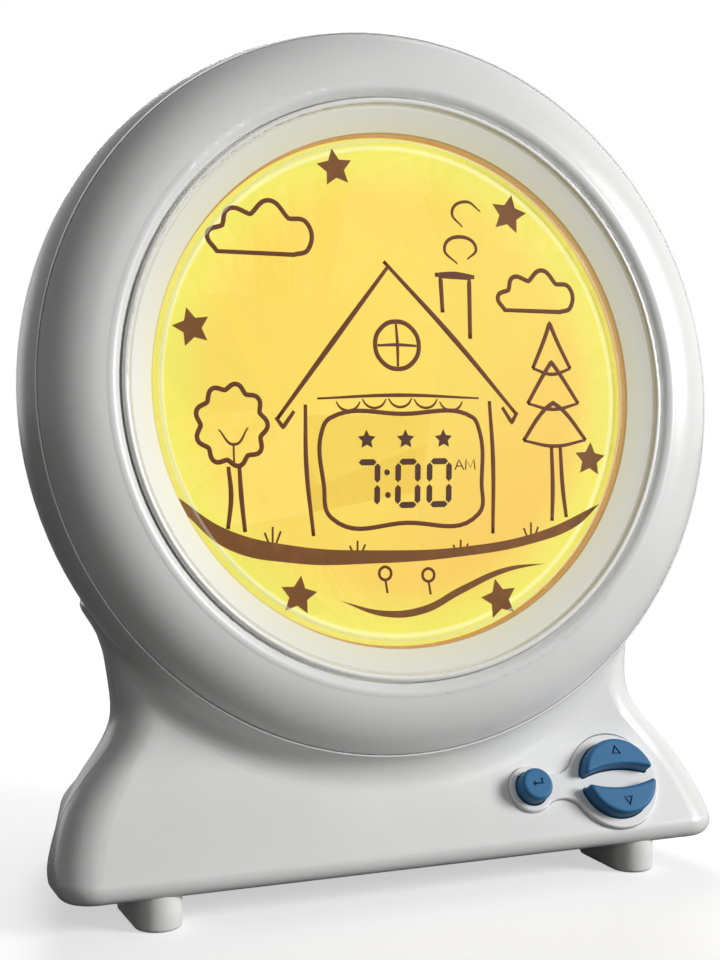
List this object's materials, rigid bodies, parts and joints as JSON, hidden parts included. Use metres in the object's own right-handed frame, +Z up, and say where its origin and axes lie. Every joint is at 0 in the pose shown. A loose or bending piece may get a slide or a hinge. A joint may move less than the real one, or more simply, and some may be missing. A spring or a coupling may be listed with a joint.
{
  "type": "alarm clock",
  "caption": "Round bedside alarm clock for children with a lit yellow picture dial, digital time, white flared base and three blue keys.",
  "frame": {"origin": "on the floor, under the middle of the clock's overall box", "axes": "+Z up, the dial and keys face -Y, +X to the right of someone who looks at the dial"},
  "size_m": [0.175, 0.089, 0.2047],
  "materials": {
    "front_housing": "gloss",
    "rear_housing": "gloss",
    "bezel_ring": "gloss",
    "trim_ring": "gloss",
    "dish_ring": "satin",
    "clear_lens": "clear",
    "picture_film": "printed",
    "diffuser_plate": "milky",
    "lcd_panel": "polished",
    "lcd_frame": "matt",
    "lcd_ribbon": "matt",
    "light_box": "matt",
    "led_board": "satin",
    "leds": "clear",
    "led_header": "satin",
    "main_board": "satin",
    "main_parts": "satin",
    "cable_sockets": "satin",
    "ribbon_socket": "satin",
    "button_plate": "gloss",
    "ok_button": "satin",
    "up_button": "satin",
    "down_button": "satin",
    "ok_plunger": "satin",
    "up_plunger": "satin",
    "down_plunger": "satin",
    "key_switches": "satin",
    "key_board": "satin",
    "key_cable": "matt",
    "front_feet": "matt",
    "rear_feet": "matt",
    "housing_screws": "zinc",
    "bezel_screws": "zinc",
    "light_box_screws": "zinc",
    "led_board_screws": "zinc",
    "main_board_screws": "zinc",
    "key_board_screws": "zinc",
    "speaker_basket": "satin",
    "speaker_cone": "paper",
    "speaker_magnet": "matt",
    "speaker_clamps": "satin",
    "speaker_cable": "matt",
    "power_inlet": "satin",
    "inlet_pin": "plated",
    "inlet_cable": "matt"
  },
  "bodies": {
    "clock": {"front_housing": "front_housing", "rear_housing": "rear_housing", "bezel_ring": "bezel_ring", "trim_ring": "trim_ring", "dish_ring": "dish_ring", "clear_lens": "clear_lens", "picture_film": "picture_film", "diffuser_plate": "diffuser_plate", "lcd_panel": "lcd_panel", "lcd_frame": "lcd_frame", "lcd_ribbon": "lcd_ribbon", "light_box": "light_box", "led_board": "led_board", "leds": "leds", "led_header": "led_header", "main_board": "main_board", "main_parts": "main_parts", "cable_sockets": "cable_sockets", "ribbon_socket": "ribbon_socket", "button_plate": "button_plate", "key_switches": "key_switches", "key_board": "key_board", "key_cable": "key_cable", "front_feet": "front_feet", "rear_feet": "rear_feet", "housing_screws": "housing_screws", "bezel_screws": "bezel_screws", "light_box_screws": "light_box_screws", "led_board_screws": "led_board_screws", "main_board_screws": "main_board_screws", "key_board_screws": "key_board_screws", "speaker_basket": "speaker_basket", "speaker_cone": "speaker_cone", "speaker_magnet": "speaker_magnet", "speaker_clamps": "speaker_clamps", "speaker_cable": "speaker_cable", "power_inlet": "power_inlet", "inlet_pin": "inlet_pin", "inlet_cable": "inlet_cable"},
    "ok_button": {"ok_button": "ok_button", "ok_plunger": "ok_plunger"},
    "up_button": {"up_button": "up_button", "up_plunger": "up_plunger"},
    "down_button": {"down_button": "down_button", "down_plunger": "down_plunger"}
  },
  "joints": [
    {"name": "ok_press", "type": "slide", "parent": "clock", "child": "ok_button", "axis": [0, 0.8572, -0.515], "range_m": [0, 0.0006], "stiffness_N_per_m": 2500},
    {"name": "up_press", "type": "slide", "parent": "clock", "child": "up_button", "axis": [0, 0.8572, -0.515], "range_m": [0, 0.0006], "stiffness_N_per_m": 2500},
    {"name": "down_press", "type": "slide", "parent": "clock", "child": "down_button", "axis": [0, 0.8572, -0.515], "range_m": [0, 0.0006], "stiffness_N_per_m": 2500}
  ]
}
